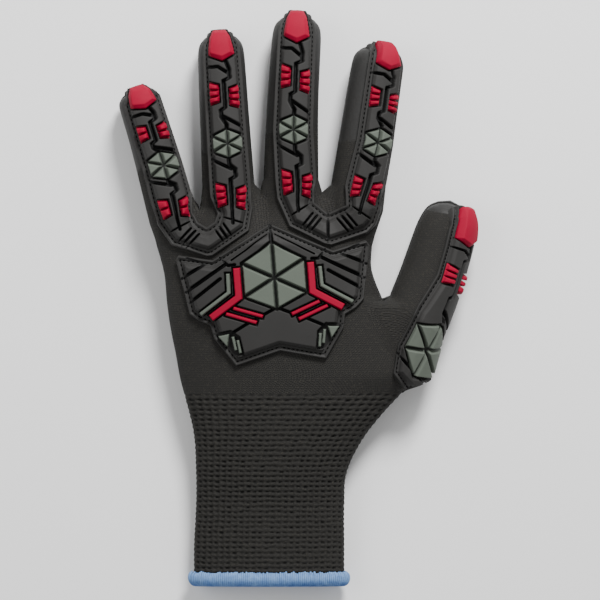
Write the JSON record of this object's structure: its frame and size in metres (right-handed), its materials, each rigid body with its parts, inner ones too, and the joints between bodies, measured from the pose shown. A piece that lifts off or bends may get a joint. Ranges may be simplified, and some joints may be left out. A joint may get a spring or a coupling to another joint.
{
  "type": "impact glove",
  "caption": "Knitted work glove for the left hand with a dipped rubber palm, moulded guards over the back of the fingers, thumb and hand, and an open rib cuff.",
  "frame": {"origin": "under the middle of the glove, on the surface that it lies on", "axes": "+X towards the thumb's side, +Y from the cuff towards the fingers, +Z out of the back of the hand"},
  "size_m": [0.1672, 0.268, 0.0356],
  "materials": {
    "black_knit": "fine gauge black knit",
    "rib_knit": "black rib knit",
    "palm_rubber": "dipped rubber, matte and slightly sandy",
    "overlock_thread": "light blue overlock thread",
    "black_rubber": "moulded soft rubber, satin",
    "red_rubber": "moulded soft rubber, satin",
    "grey_rubber": "moulded soft rubber, satin"
  },
  "bodies": {
    "root": {"bars_left": "red_rubber", "bars_right": "red_rubber", "cap_index": "red_rubber", "cap_little": "red_rubber", "cap_middle": "red_rubber", "cap_ring": "red_rubber", "cap_thumb": "red_rubber", "chevron_grey_left": "grey_rubber", "chevron_grey_right": "grey_rubber", "chevron_red_left": "red_rubber", "chevron_red_right": "red_rubber", "corner_left": "grey_rubber", "corner_right": "grey_rubber", "cuff_hem": "overlock_thread", "guard_back": "black_rubber", "guard_little_ring": "black_rubber", "guard_middle_index": "black_rubber", "guard_thumb": "black_rubber", "hexagon_back": "grey_rubber", "hexagon_index": "grey_rubber", "hexagon_little": "grey_rubber", "hexagon_middle": "grey_rubber", "hexagon_ring": "grey_rubber", "hexagon_thumb": "grey_rubber", "knit_liner": "black_knit", "palm_coating": "palm_rubber", "rib_cuff": "rib_knit", "ridges_index_lower_left": "red_rubber", "ridges_index_lower_right": "red_rubber", "ridges_index_upper_left": "red_rubber", "ridges_index_upper_right": "red_rubber", "ridges_little_lower_left": "red_rubber", "ridges_little_lower_right": "red_rubber", "ridges_little_upper_left": "red_rubber", "ridges_little_upper_right": "red_rubber", "ridges_middle_lower_left": "red_rubber", "ridges_middle_lower_right": "red_rubber", "ridges_middle_upper_left": "red_rubber", "ridges_middle_upper_right": "red_rubber", "ridges_ring_lower_left": "red_rubber", "ridges_ring_lower_right": "red_rubber", "ridges_ring_upper_left": "red_rubber", "ridges_ring_upper_right": "red_rubber", "ridges_thumb_left": "red_rubber", "ridges_thumb_right": "red_rubber"}
  },
  "joints": []
}
